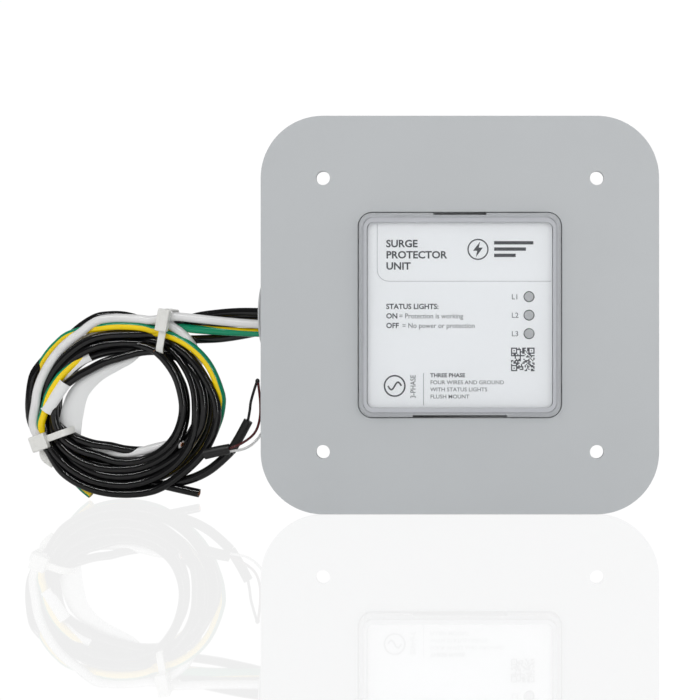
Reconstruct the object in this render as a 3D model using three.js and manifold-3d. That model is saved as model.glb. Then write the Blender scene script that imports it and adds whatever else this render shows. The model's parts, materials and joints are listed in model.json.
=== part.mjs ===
// Hard-wired three-phase surge protector on a square flush plate, with its leads coiled and tied.
// Millimetres, +Z up. The origin is the centre of the flush plate's back face, and -Y faces the room.

import * as THREE from 'three';
import { mergeVertices } from 'three/addons/utils/BufferGeometryUtils.js';
import Module from 'manifold-3d';

const wasm = await Module();
wasm.setup();

// Clearance kept between pieces that touch.
const gap = 0.3;

// Flush plate: a moulded square with a window for the case and four wall-screw holes.
const plate = {
	side: 203.2, thick: 3, corner: 31.75, holeRadius: 3.55, holeSpacing: 139.7,
	windowClearance: 0.8, bossRadius: 4.5, bossLength: 9, pilotRadius: 1.8, pilotDepth: 9.5,
};

// Case: an open-fronted box behind the window, with four ears that screw to the plate's bosses.
const box = {
	width: 102.6, height: 103.6, corner: 6.6, wall: 2.6, front: -4.6, back: 58,
	earReach: 8.2, earWidth: 12, earThick: 3, earHeight: 38, postSide: 4, postInset: 4.2,
	collarReach: 4, collarFrom: 0.4, collarTo: 2.4,
};

// Clear lid: a stepped front with a skirt that slides inside the case.
const lid = {
	front: -8, step: -6.9, back: -6, stepWidth: 2.3, skirtThick: 1.2, skirtBack: -1,
	slotDepth: 1.1, topSlot: 27, footSlot: 48,
};

// Card and the cover that carries it, inside the lid's skirt.
const card = { width: 93.4, height: 93.4, corner: 3.3, front: -3.9, back: -3.5 };
const cover = { width: 93.6, height: 94.6, front: -3.2, back: -1.6 };

// Status lights, one for each phase, in a column at the card's right.
const light = { x: 35.2, top: 9.3, pitch: 9.4, radius: 2.45, holeRadius: 2.8, front: -4.2, back: 8 };

// Circuit board with its parts on the back.
const board = { side: 80, front: 14, thick: 1.6, bossRadius: 3.5, bossAt: 34, screwHole: 2 };
const varistor = { count: 7, radius: 10.5, thick: 4.6, firstX: -21, pitch: 8.2, z: -14 };

// Conduit nipple of one inch trade size, out of the case's left side.
const nipple = {
	y: 32.5, radius: 16.7, bore: 13.3, end: -104.6, inner: -43.4,
	flangeFrom: -59, flangeTo: -53.9, flangeRadius: 24, nutRadius: 21.4,
};
const bushing = { end: -106.5, back: -96.5, radius: 18.6, throat: 12.6, lip: 1.6 };

// Leads: each a 4.7 mm wire, with its place in the bore (y, z) and the board pad that it ends on (x, z).
const leadRadius = 2.35;
const alarmRadius = 2.45;
const leads = [
	{ name: 'lead_l1', radius: leadRadius, y: 27.5, z: 1.5, padX: -38, padZ: 2.5, colour: 0x151618 },
	{ name: 'lead_l2', radius: leadRadius, y: 32.2, z: -0.3, padX: -30.5, padZ: 1.8, colour: 0x151618 },
	{ name: 'lead_l3', radius: leadRadius, y: 36.4, z: -8.4, padX: -30.5, padZ: -9.2, colour: 0x151618 },
	{ name: 'lead_neutral', radius: leadRadius, y: 26, z: -5, padX: -38, padZ: -4.5, colour: 0xe8e8e6 },
	{ name: 'lead_ground', radius: leadRadius, y: 31, z: -9.6, padX: -38, padZ: -9.9, colour: 0x2f8a3c },
	{ name: 'alarm_cable', radius: alarmRadius, y: 37.4, z: -2.8, padX: -30.5, padZ: -4, colour: 0x17181a },
];

// Where each lead goes between the bushing and the coil, as [x, y, z] points.
const leadIns = {
	lead_l1: [[-107, 27.5, 1.5], [-119.5, 32.6, 1.6], [-132, 37, 0], [-157, 42.3, -2.6]],
	lead_l2: [[-107, 32.2, -0.3], [-119.5, 35, -3.6], [-132, 38, -5.5], [-157, 43, -8]],
	lead_l3: [[-107, 36.4, -8.4], [-119.5, 37.4, -11.1], [-132, 39.6, -13.2], [-157, 45, -14.2]],
	lead_neutral: [[-107, 26, -5], [-119.5, 28.7, -4.2], [-132, 31.5, -3.3], [-157, 37, -1.6]],
	lead_ground: [[-107, 31, -9.6], [-119.5, 32.5, -9], [-132, 34, -8.4], [-157, 37, -7.2]],
	alarm_cable: [[-107, 37.4, -2.8], [-119.5, 41, -4], [-132, 44, -4.5], [-157, 48.5, -5.5]],
};

// Coil of all the leads, standing on edge beside the plate.
const coil = { x: -185.4, y: 44, z: -50.2, outerX: 55.3, outerZ: 51.3, width: 22, depth: 19, bevel: 5 };

// Nylon ties round the coil: angle from +X, band, and the head's place and tilt.
const tie = { width: 3.8, thick: 1.2, clearance: 0.5, headWidth: 6.6, headDepth: 5, headLength: 12 };
const ties = [
	{ name: 'tie_top', angle: 64, headShift: 4 },
	{ name: 'tie_side', angle: 205, headShift: 3 },
];

const colours = {
	plate: 0xbfc1c3, shell: 0xb4b7b9, clear: 0xdfe6ea, card: 0xe6e8ec, board: 0x1f5a3a,
	varistor: 0x2b4f93, rubber: 0x8a8c8f, zinc: 0xa9adb0, nylon: 0xe9e7dc, steel: 0x8f9498,
	lightPipe: 0x9fa3a6, led: 0x59d977, relay: 0x20252b, cutoff: 0xc9b38a, paper: 0xf2f3f5,
};

// A closed geometry as a solid for joining and cutting.
function toSolid(geometry) {
	const bare = geometry.clone();
	bare.deleteAttribute('normal');
	bare.deleteAttribute('uv');
	const merged = mergeVertices(bare, 1e-3);
	return new wasm.Manifold(new wasm.Mesh({
		numProp: 3,
		vertProperties: merged.attributes.position.array,
		triVerts: new Uint32Array(merged.index.array),
	}));
}

// A solid back as flat-shaded geometry.
function toGeometry(solid) {
	const mesh = solid.getMesh();
	const geometry = new THREE.BufferGeometry();
	geometry.setAttribute('position', new THREE.BufferAttribute(mesh.vertProperties, 3));
	geometry.setIndex(new THREE.BufferAttribute(mesh.triVerts, 1));
	return geometry;
}

function cut(base, ...tools) {
	return toGeometry(tools.reduce((solid, tool) => solid.subtract(toSolid(tool)), toSolid(base)));
}

function join(...pieces) {
	return toGeometry(pieces.map(toSolid).reduce((solid, piece) => solid.add(piece)));
}

function roundedRect(width, height, radius) {
	const x = width / 2 - radius;
	const z = height / 2 - radius;
	const shape = new THREE.Shape();
	shape.absarc(x, z, radius, 0, Math.PI / 2);
	shape.absarc(-x, z, radius, Math.PI / 2, Math.PI);
	shape.absarc(-x, -z, radius, Math.PI, 1.5 * Math.PI);
	shape.absarc(x, -z, radius, 1.5 * Math.PI, 2 * Math.PI);
	shape.closePath();
	return shape;
}

// A shape drawn in X and Z, as a slab from y = front to y = back.
function slab(shape, front, back, curveSegments = 6) {
	const geometry = new THREE.ExtrudeGeometry(shape, { depth: back - front, bevelEnabled: false, curveSegments });
	return geometry.rotateX(Math.PI / 2).translate(0, back, 0);
}

function block(x0, x1, y0, y1, z0, z1) {
	return new THREE.BoxGeometry(x1 - x0, y1 - y0, z1 - z0)
		.translate((x0 + x1) / 2, (y0 + y1) / 2, (z0 + z1) / 2);
}

function rodAlongY(radius, x, z, y0, y1, sides = 16) {
	return new THREE.CylinderGeometry(radius, radius, y1 - y0, sides).translate(x, (y0 + y1) / 2, z);
}

function rodAlongX(radius, x0, x1, sides = 32) {
	return new THREE.CylinderGeometry(radius, radius, x1 - x0, sides)
		.rotateZ(Math.PI / 2).translate((x0 + x1) / 2, nipple.y, 0);
}

// A closed [radius, x] outline turned about the nipple's axis.
function turnedAboutNipple(outline, sides = 32) {
	const profile = [...outline, outline[0]].map(([radius, x]) => new THREE.Vector2(radius, x));
	return new THREE.LatheGeometry(profile, sides).rotateZ(-Math.PI / 2).translate(0, nipple.y, 0);
}

// A round cord along a smooth curve through the points.
function cordAlong(points, radius, steps, sides = 8) {
	const curve = new THREE.CatmullRomCurve3(points.map((point) => new THREE.Vector3(...point)));
	const section = new THREE.Shape();
	for (let i = 0; i < sides; i++) {
		const angle = (2 * Math.PI * i) / sides;
		const x = radius * Math.cos(angle);
		const y = radius * Math.sin(angle);
		if (i === 0) section.moveTo(x, y);
		else section.lineTo(x, y);
	}
	section.closePath();
	return new THREE.ExtrudeGeometry(section, { steps, bevelEnabled: false, extrudePath: curve });
}

const surgeProtector = new THREE.Group();

function addPiece(name, geometry, colour, roughness = 0.5, metalness = 0) {
	const material = new THREE.MeshStandardMaterial({ color: colour, roughness, metalness });
	const mesh = new THREE.Mesh(geometry, material);
	mesh.name = name;
	surgeProtector.add(mesh);
}

// Corners of a rectangle, in X and Z.
function corners(x, z) {
	return [[-x, -z], [x, -z], [-x, z], [x, z]];
}

// A recessed pan-head screw along Y, with its head at y = head and its tip at y = tip.
function screw(x, z, head, tip, headRadius, shankRadius) {
	const way = Math.sign(tip - head);
	const under = head + way * 2.2;
	const top = rodAlongY(headRadius, x, z, Math.min(head, under), Math.max(head, under));
	const shank = rodAlongY(shankRadius, x, z, Math.min(head, tip), Math.max(head, tip), 12);
	const floor = head + way * 1.2;
	const recessFrom = Math.min(head - way, floor);
	const recessTo = Math.max(head - way, floor);
	const long = headRadius * 0.55;
	const across = block(x - long, x + long, recessFrom, recessTo, z - 0.4, z + 0.4);
	const down = block(x - 0.4, x + 0.4, recessFrom, recessTo, z - long, z + long);
	return cut(join(top, shank), across, down);
}

const earX = box.width / 2 + box.earReach - 3;

function buildPlate() {
	const shape = roundedRect(plate.side, plate.side, plate.corner);
	const clearance = plate.windowClearance;
	shape.holes.push(roundedRect(box.width + 2 * clearance, box.height + 2 * clearance, box.corner + clearance));
	for (const [x, z] of corners(plate.holeSpacing / 2, plate.holeSpacing / 2)) {
		shape.holes.push(new THREE.Path().absarc(x, z, plate.holeRadius, 0, 2 * Math.PI));
	}
	let body = toSolid(slab(shape, -plate.thick, 0, 8));
	for (const [x, z] of corners(earX, box.earHeight)) {
		body = body.add(toSolid(rodAlongY(plate.bossRadius, x, z, -0.5, plate.bossLength)));
	}
	for (const [x, z] of corners(earX, box.earHeight)) {
		const floor = plate.bossLength - plate.pilotDepth + 1;
		body = body.subtract(toSolid(rodAlongY(plate.pilotRadius, x, z, floor, plate.bossLength + 1, 12)));
	}
	addPiece('flush_plate', toGeometry(body), colours.plate, 0.55);
}

function buildCase() {
	const outer = slab(roundedRect(box.width, box.height, box.corner), box.front, box.back);
	const innerWidth = box.width - 2 * box.wall;
	const innerHeight = box.height - 2 * box.wall;
	const hollow = slab(
		roundedRect(innerWidth, innerHeight, box.corner - box.wall), box.front - 1, box.back - box.wall,
	);
	const reach = 2 * box.collarReach;
	const collarShape = roundedRect(box.width + reach, box.height + reach, box.corner + box.collarReach);
	let body = toSolid(outer).add(toSolid(slab(collarShape, box.collarFrom, box.collarTo)));
	for (const [x, z] of corners(earX, box.earHeight)) {
		body = body.subtract(toSolid(rodAlongY(plate.bossRadius + gap, x, z, -1, plate.bossLength)));
	}
	const earFront = plate.bossLength + gap;
	for (const [x, z] of corners(earX, box.earHeight)) {
		const inner = Math.sign(x) * (box.width / 2 - 1);
		const outerX = Math.sign(x) * (box.width / 2 + box.earReach + 1.5);
		const ear = block(
			Math.min(inner, outerX), Math.max(inner, outerX), earFront, earFront + box.earThick,
			z - box.earWidth / 2, z + box.earWidth / 2,
		);
		body = body.add(toSolid(ear));
	}
	body = body.subtract(toSolid(hollow));
	const postX = innerWidth / 2 - box.postInset;
	const postZ = innerHeight / 2 - box.postInset;
	for (const [x, z] of corners(postX, postZ)) {
		const half = box.postSide / 2;
		const post = block(x - half, x + half, cover.back + gap, box.back - 1, z - half, z + half);
		body = body.add(toSolid(post));
	}
	for (const [x, z] of corners(board.bossAt, board.bossAt)) {
		body = body.add(toSolid(rodAlongY(board.bossRadius, x, z, board.front + board.thick + gap, box.back - 1)));
	}
	for (const [x, z] of corners(earX, box.earHeight)) {
		body = body.subtract(toSolid(rodAlongY(2.3, x, z, earFront - 1, earFront + box.earThick + 1, 12)));
	}
	for (const [x, z] of [[-board.bossAt, board.bossAt], [board.bossAt, -board.bossAt]]) {
		body = body.subtract(toSolid(rodAlongY(1.8, x, z, board.front, board.front + 14, 12)));
	}
	body = body.subtract(toSolid(rodAlongX(nipple.radius + gap, -box.width / 2 - 2, -box.width / 2 + 5)));
	for (const slot of prySlots(box.front - 1, box.collarFrom - 0.1)) body = body.subtract(toSolid(slot));
	addPiece('case_base', toGeometry(body), colours.shell, 0.6);
}

// Slots for prying the lid off, at the top and foot of the rim, between two y places.
function prySlots(front, back) {
	const edge = box.height / 2;
	const floor = edge - lid.slotDepth;
	return [
		block(-lid.topSlot / 2, lid.topSlot / 2, front, back, floor, edge + 1),
		block(-lid.footSlot / 2, lid.footSlot / 2, front, back, -edge - 1, -floor),
	];
}

function buildLid() {
	const flange = slab(roundedRect(box.width, box.height, box.corner), lid.step, lid.back);
	const inset = 2 * lid.stepWidth;
	const raised = slab(
		roundedRect(box.width - inset, box.height - inset, box.corner - lid.stepWidth), lid.front, lid.back,
	);
	const skirtClearance = 2 * (box.wall + gap);
	const skirtWidth = box.width - skirtClearance;
	const skirtHeight = box.height - skirtClearance;
	const skirtRadius = box.corner - box.wall - gap;
	const skirt = roundedRect(skirtWidth, skirtHeight, skirtRadius);
	skirt.holes.push(roundedRect(
		skirtWidth - 2 * lid.skirtThick, skirtHeight - 2 * lid.skirtThick, skirtRadius - lid.skirtThick,
	));
	const tray = join(flange, raised, slab(skirt, lid.back - 0.4, lid.skirtBack));
	addPiece('clear_lid', cut(tray, ...prySlots(lid.front - 1, lid.back + 1)), colours.clear, 0.1);
}

function buildGasket() {
	const outer = roundedRect(box.width - 1.6, box.height - 1.6, box.corner - 0.8);
	const innerInset = 2 * (box.wall - 0.1);
	outer.holes.push(roundedRect(box.width - innerInset, box.height - innerInset, box.corner - box.wall + 0.1));
	const ring = slab(outer, lid.back + gap, box.front - gap);
	addPiece('lid_gasket', cut(ring, ...prySlots(lid.back, box.front)), colours.rubber, 0.8);
}

function lightRows() {
	return [0, 1, 2].map((row) => light.top - row * light.pitch);
}

function buildCardAndCover() {
	const cardShape = roundedRect(card.width, card.height, card.corner);
	const coverShape = roundedRect(cover.width, cover.height, card.corner);
	for (const z of lightRows()) {
		cardShape.holes.push(new THREE.Path().absarc(light.x, z, light.holeRadius, 0, 2 * Math.PI));
		coverShape.holes.push(new THREE.Path().absarc(light.x, z, light.holeRadius, 0, 2 * Math.PI));
	}
	addPiece('legend_card', slab(cardShape, card.front, card.back), colours.card, 0.45);
	addPiece('inner_cover', slab(coverShape, cover.front, cover.back), colours.shell, 0.6);
}

function buildLights() {
	const profile = [[0, 0], [2.9, 0], [2.9, 0.9], [2.5, 0.9], [2.5, 3.2], [1.8, 4.7], [0, 5.3]]
		.map(([radius, height]) => new THREE.Vector2(radius, height));
	lightRows().forEach((z, row) => {
		const phase = `l${row + 1}`;
		const pipe = rodAlongY(light.radius, light.x, z, light.front, light.back);
		addPiece(`light_pipe_${phase}`, pipe, colours.lightPipe, 0.2);
		const dome = new THREE.LatheGeometry(profile, 12).rotateX(Math.PI).translate(light.x, board.front - gap, z);
		addPiece(`status_led_${phase}`, dome, colours.led, 0.3);
	});
}

function buildBoard() {
	const half = board.side / 2;
	const back = board.front + board.thick;
	const screwPlaces = [[-board.bossAt, board.bossAt], [board.bossAt, -board.bossAt]];
	const holes = screwPlaces.map(([x, z]) => rodAlongY(board.screwHole, x, z, board.front - 1, back + 1, 12));
	addPiece('circuit_board', cut(block(-half, half, board.front, back, -half, half), ...holes), colours.board, 0.4);
	screwPlaces.forEach(([x, z], index) => {
		addPiece(`board_screw_${index + 1}`, screw(x, z, board.front - gap - 2.2, back + 9, 3, 1.5), colours.steel, 0.35, 1);
	});
	const partFront = back + gap;
	for (let i = 0; i < varistor.count; i++) {
		const x = varistor.firstX + i * varistor.pitch;
		const disc = new THREE.CylinderGeometry(varistor.radius, varistor.radius, varistor.thick, 20).rotateZ(Math.PI / 2);
		addPiece(`varistor_${i + 1}`, disc.translate(x, partFront + varistor.radius, varistor.z), colours.varistor, 0.5);
	}
	for (let phase = 0; phase < 3; phase++) {
		const x = varistor.firstX + 2 * phase * varistor.pitch;
		const body = new THREE.CylinderGeometry(2, 2, 11, 12).rotateX(Math.PI / 2).translate(x, partFront + 3, 3.6);
		addPiece(`thermal_cutoff_l${phase + 1}`, body, colours.cutoff, 0.5);
	}
	addPiece('alarm_relay', block(4, 24, partFront, partFront + 10.5, 14, 29), colours.relay, 0.4);
}

function buildCaseScrews() {
	const earBack = plate.bossLength + gap + box.earThick;
	corners(earX, box.earHeight).forEach(([x, z], index) => {
		const body = screw(x, z, earBack + gap + 2.2, plate.bossLength - 7, 3.4, 1.5);
		addPiece(`case_screw_${index + 1}`, body, colours.steel, 0.35, 1);
	});
}

function buildNipple() {
	const flange = new THREE.CylinderGeometry(nipple.flangeRadius, nipple.flangeRadius, nipple.flangeTo - nipple.flangeFrom, 6)
		.rotateZ(Math.PI / 2).translate((nipple.flangeFrom + nipple.flangeTo) / 2, nipple.y, 0);
	const tube = join(rodAlongX(nipple.radius, nipple.end, nipple.inner), flange);
	const bore = rodAlongX(nipple.bore, nipple.end - 1, nipple.inner + 1);
	addPiece('conduit_nipple', cut(tube, bore), colours.shell, 0.5);

	const wallOutside = -box.width / 2;
	const hole = nipple.radius + gap;
	addPiece('hub_seal', turnedAboutNipple([
		[hole, wallOutside - 2.3], [20.4, wallOutside - 2.3], [20.8, wallOutside - 1.3], [20.4, wallOutside - gap],
		[hole, wallOutside - gap],
	], 24), colours.rubber, 0.85);

	const wallInside = wallOutside + box.wall;
	addPiece('case_locknut', locknut(wallInside + gap, wallInside + gap + 3.6), colours.zinc, 0.4, 1);
	addPiece('panel_locknut', locknut(-92, -88), colours.zinc, 0.4, 1);

	const { end, back, radius, throat, lip } = bushing;
	addPiece('end_bushing', turnedAboutNipple([
		[throat, end + 0.6], [throat + 0.6, end], [radius - 1, end], [radius, end + 1], [radius, back],
		[hole, back], [hole, end + lip], [throat, end + lip],
	]), colours.shell, 0.45);
}

// A round locknut with driving notches in its rim.
function locknut(from, to) {
	const inner = nipple.radius + gap;
	const outer = nipple.nutRadius;
	const ring = turnedAboutNipple([[inner, from], [outer, from], [outer, to], [inner, to]], 32);
	const notches = [];
	for (let i = 0; i < 8; i++) {
		const notch = block(from - 1, to + 1, -1.6, 1.6, outer - 1.6, outer + 2);
		notches.push(notch.rotateX((i * Math.PI) / 4 + 0.1).translate(0, nipple.y, 0));
	}
	return cut(ring, ...notches);
}

// Each lead inside the case and the nipple: from its pad on the board out to the bushing's mouth.
function buildInnerLeads() {
	const padFront = board.front + board.thick + gap;
	for (const { name, radius, y, z, padX, padZ, colour } of leads) {
		const points = [
			[bushing.end + 0.4, y, z], [-80, y, z], [-52, y, (z * 2 + padZ) / 3], [padX - 7, y - 0.9, padZ],
			[padX - 1.3, y - 5, padZ], [padX, (y + padFront) / 2 - 1.5, padZ], [padX, padFront, padZ],
		];
		addPiece(`${name}_inside`, cordAlong(points, radius, 22), colour, 0.35);
	}
}

// An outline with bevelled corners, counterclockwise from its lower left.
function bevelled(u0, u1, v0, v1, bevel) {
	return [
		[u0 + bevel, v0], [u1 - bevel, v0], [u1, v0 + bevel], [u1, v1 - bevel],
		[u1 - bevel, v1], [u0 + bevel, v1], [u0, v1 - bevel], [u0, v0 + bevel],
	].map(([u, v]) => new THREE.Vector2(u, v));
}

// The coil's outer shape, larger all over by extra.
function coilRing(extra = 0) {
	const half = coil.depth / 2 + extra;
	const profile = bevelled(coil.outerZ - coil.width - extra, coil.outerZ + extra, -half, half, coil.bevel);
	const ring = new THREE.LatheGeometry([...profile, profile[0]], 40);
	return ring.scale(coil.outerX / coil.outerZ, 1, 1).translate(coil.x, coil.y, coil.z);
}

// Each free lead from the bushing to the coil, stopped at the coil's surface.
function buildOuterLeads() {
	const stop = coilRing(gap);
	for (const { name, radius, colour } of leads) {
		addPiece(`${name}_outside`, cut(cordAlong(leadIns[name], radius, 8), stop), colour, 0.35);
	}
}

function buildTies() {
	const stretch = coil.outerX / coil.outerZ;
	const { clearance, thick, width } = tie;
	for (const { name, angle, headShift } of ties) {
		const turn = THREE.MathUtils.degToRad(angle);
		const reach = Math.hypot(stretch * Math.cos(turn), Math.sin(turn));
		const outward = new THREE.Vector3(stretch * Math.cos(turn), 0, Math.sin(turn)).normalize();
		const along = new THREE.Vector3().crossVectors(outward, new THREE.Vector3(0, 1, 0));
		const inner = (coil.outerZ - coil.width) * reach - clearance;
		const outer = coil.outerZ * reach + clearance;
		const half = coil.depth / 2 + clearance;
		const band = new THREE.Shape(bevelled(inner - thick, outer + thick, -half - thick, half + thick, coil.bevel));
		band.holes.push(new THREE.Path(bevelled(inner, outer, -half, half, coil.bevel)));
		const strap = new THREE.ExtrudeGeometry(band, { depth: width, bevelEnabled: false }).translate(0, 0, -width / 2);
		const headFrom = outer + headShift - tie.headLength;
		const headFront = -half - tie.headDepth;
		const head = new THREE.BoxGeometry(tie.headLength, tie.headDepth - 0.4, tie.headWidth)
			.translate(headFrom + tie.headLength / 2, headFront + tie.headDepth / 2 - 0.2, 0);
		const placed = new THREE.Matrix4().makeBasis(outward, new THREE.Vector3(0, 1, 0), along)
			.setPosition(coil.x, coil.y, coil.z);
		addPiece(name, join(strap, head).applyMatrix4(placed), colours.nylon, 0.35);
	}
}

// Free ends that leave the coil, and the alarm cable's sleeves and thin wires.
function buildTails() {
	const stop = coilRing(gap);
	const leadEnd = cordAlong([[-176, 42.6, -90.9], [-160, 39, -94.2], [-143, 38, -97.8]], leadRadius, 8);
	addPiece('lead_l3_tail', cut(leadEnd, stop), 0x151618, 0.35);
	const cableEnd = [[-166, 43, -89], [-150, 39, -90], [-138, 38, -85.6], [-130, 38, -79.2], [-125.8, 38, -74.8]];
	addPiece('alarm_cable_tail', cut(cordAlong(cableEnd, alarmRadius, 12), stop), 0x17181a, 0.4);
	addPiece('wire_sleeve_1', cordAlong([[-137, 31.5, -75.2], [-125, 31.5, -72.7]], 2.5, 2), 0x0e0f10, 0.6);
	addPiece('wire_sleeve_2', cordAlong([[-125.4, 38, -74.4], [-116.1, 38, -58]], 2.2, 2), 0x0e0f10, 0.6);
	const wires = {
		alarm_wire_black: [[-115.9, 38, -57.6], [-114.8, 37.5, -47.6], [-112.6, 36.5, -41], [-111.4, 36, -37.4]],
		alarm_wire_red: [
			[-124.6, 31.5, -72.6], [-118, 31.5, -69], [-111.2, 32, -64.4], [-109, 33, -57], [-109.2, 34, -48], [-109.6, 35, -37.4],
		],
		alarm_wire_white: [[-124.6, 31.5, -74.1], [-116.5, 32, -72], [-110.5, 34, -67.6], [-106, 38, -60]],
	};
	const wireColours = [0x151618, 0x6b1f22, 0xdcdcd8];
	Object.entries(wires).forEach(([name, points], index) => {
		addPiece(name, cordAlong(points, 0.7, 8), wireColours[index], 0.4);
	});
}

// Printed labels on the coil: a long curved flag and a sleeve wrapped on one lead.
function buildLabels() {
	const front = coil.y - coil.depth / 2 - 2.6;
	const flag = new THREE.Shape();
	flag.moveTo(-177.5, -21.5);
	flag.bezierCurveTo(-200, -28, -219, -38, -221.2, -62);
	flag.lineTo(-209.4, -67.2);
	flag.bezierCurveTo(-207, -45, -200, -35, -177.5, -24);
	flag.closePath();
	addPiece('flag_label', slab(flag, front, front + 0.4, 8), colours.paper, 0.5);
	const sleeve = block(-4, 4, front, front + 0.4, -9.3, 9.3);
	sleeve.translate(0, -front, 0).rotateY(THREE.MathUtils.degToRad(30)).translate(-222.6, front, -44.8);
	addPiece('sleeve_label', sleeve, colours.paper, 0.5);
}

buildPlate();
buildCase();
buildLid();
buildGasket();
buildCardAndCover();
buildLights();
buildBoard();
buildCaseScrews();
buildNipple();
buildInnerLeads();
buildOuterLeads();
addPiece('lead_coil', coilRing(), 0x151618, 0.4);
buildTies();
buildTails();
buildLabels();

export default surgeProtector;
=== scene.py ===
import json
import random
from math import cos, pi, radians, sin
import bpy
from mathutils import Matrix, Vector


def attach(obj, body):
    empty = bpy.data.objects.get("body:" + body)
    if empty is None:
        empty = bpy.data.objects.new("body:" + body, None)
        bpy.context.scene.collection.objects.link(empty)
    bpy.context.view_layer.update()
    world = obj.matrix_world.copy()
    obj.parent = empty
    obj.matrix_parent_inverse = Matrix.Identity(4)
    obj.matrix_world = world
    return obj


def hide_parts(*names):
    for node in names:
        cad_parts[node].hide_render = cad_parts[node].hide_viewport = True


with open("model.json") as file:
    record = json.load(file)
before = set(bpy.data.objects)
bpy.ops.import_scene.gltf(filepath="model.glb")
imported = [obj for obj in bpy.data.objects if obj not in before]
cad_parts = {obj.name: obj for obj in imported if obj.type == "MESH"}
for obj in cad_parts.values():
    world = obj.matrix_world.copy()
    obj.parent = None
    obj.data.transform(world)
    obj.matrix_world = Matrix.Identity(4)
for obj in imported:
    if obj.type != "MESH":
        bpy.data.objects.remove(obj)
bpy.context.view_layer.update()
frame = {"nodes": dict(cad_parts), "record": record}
nodes = frame["nodes"]
mm = 0.001
print("stage: frame loaded")


def setMode(mode):
    bpy.ops.object.mode_set(mode=mode)


def deselectAll():
    if bpy.context.mode != "OBJECT":
        setMode("OBJECT")
    bpy.ops.object.select_all(action="DESELECT")


def newest(name):
    bpy.context.object.name = name
    return bpy.context.object


def activate(piece):
    deselectAll()
    piece.select_set(True)
    bpy.context.view_layer.objects.active = piece


deselectAll()

# camera, level with the plate's centre and square on to it

cameraSetup = {
    "distance": 0.5393, "lens": 54.1, "sensor": 36, "shiftX": -0.157, "shiftY": -0.05, "near": 0.01,
}
bpy.ops.object.camera_add(location=(0, -cameraSetup["distance"], 0), rotation=(pi / 2, 0, 0))
camera = bpy.context.object
camera.data.lens = cameraSetup["lens"]
camera.data.sensor_width = cameraSetup["sensor"]
camera.data.shift_x = cameraSetup["shiftX"]
camera.data.shift_y = cameraSetup["shiftY"]
camera.data.clip_start = cameraSetup["near"]
bpy.context.scene.camera = camera
print("stage: camera")


# shader nodes as plain arithmetic

class Value:
    def __init__(self, shading, socket):
        self.shading = shading
        self.socket = socket

    def math(self, operation, *values):
        return self.shading.node("ShaderNodeMath", {"operation": operation}, dict(enumerate(values)))

    def __add__(self, other):
        return self.math("ADD", self, other)

    def __radd__(self, other):
        return self.math("ADD", other, self)

    def __sub__(self, other):
        return self.math("SUBTRACT", self, other)

    def __rsub__(self, other):
        return self.math("SUBTRACT", other, self)

    def __mul__(self, other):
        return self.math("MULTIPLY", self, other)

    def __rmul__(self, other):
        return self.math("MULTIPLY", other, self)

    def __truediv__(self, other):
        return self.math("DIVIDE", self, other)

    def __gt__(self, other):
        return self.math("GREATER_THAN", self, other)

    def __lt__(self, other):
        return self.math("LESS_THAN", self, other)

    def apply(self, operation):
        return self.math(operation, self)


class Shading:
    def __init__(self, tree):
        self.tree = tree

    def feed(self, socket, value):
        if isinstance(value, Value):
            self.tree.links.new(value.socket, socket)
        else:
            socket.default_value = value

    def node(self, kind, settings=None, inputs=None, output=0):
        made = self.tree.nodes.new(kind)
        for key, value in (settings or {}).items():
            setattr(made, key, value)
        for key, value in (inputs or {}).items():
            self.feed(made.inputs[key], value)
        return Value(self, made.outputs[output])

    def split(self, vector):
        outputs = self.node("ShaderNodeSeparateXYZ", inputs={0: vector}).socket.node.outputs
        return [Value(self, output) for output in outputs]


class Finish(Shading):
    def __init__(self, name, **constants):
        self.material = bpy.data.materials.new(name)
        self.material.use_nodes = True
        super().__init__(self.material.node_tree)
        self.shader = self.tree.nodes["Principled BSDF"]
        self.drive(**constants)

    def surface(self, value):
        self.feed(self.tree.nodes["Material Output"].inputs["Surface"], value)

    def drive(self, **values):
        for socket, value in values.items():
            self.feed(self.shader.inputs[socket.replace("_", " ")], value)

    def noise(self, scale, detail=2):
        place = self.node("ShaderNodeTexCoord", output="Object")
        return self.node("ShaderNodeTexNoise", {}, {"Vector": place, "Scale": scale, "Detail": detail})

    def mix(self, factor, first, second):
        return self.node("ShaderNodeMix", {"data_type": "RGBA"}, {0: factor, 6: first, 7: second}, output=2)

    def blend(self, factor, first, second):
        return self.node("ShaderNodeMixShader", {}, {0: factor, 1: first, 2: second})

    def bump(self, height, strength, distance, normal=None):
        inputs = {"Height": height, "Strength": strength, "Distance": distance}
        if normal:
            inputs["Normal"] = normal
        return self.node("ShaderNodeBump", {}, inputs)


def shade(base, share):
    return [channel * share for channel in base] + [1]


moulded = {"cloud": 18, "grain": 2600, "grainDepth": 0.00003, "waves": 45, "polish": 400, "spread": 0.04}


def moulding(name, base, roughness, waves=0.0):
    finish = Finish(name, Roughness=roughness)
    cloud = finish.noise(moulded["cloud"], 3)
    texture = finish.bump(finish.noise(moulded["grain"]), 0.25, moulded["grainDepth"])
    if waves:
        texture = finish.bump(finish.noise(moulded["waves"], 1), 0.5, waves, texture)
    polish = finish.noise(moulded["polish"])
    finish.drive(
        Base_Color=finish.mix(cloud, shade(base, 0.97), shade(base, 1.03)),
        Roughness=roughness - moulded["spread"] + 2 * moulded["spread"] * polish,
        Normal=texture,
    )
    return finish.material


drawn = {"cloud": 60, "ripple": 260, "rippleDepth": 0.0001, "polish": 900, "spread": 0.05}


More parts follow.
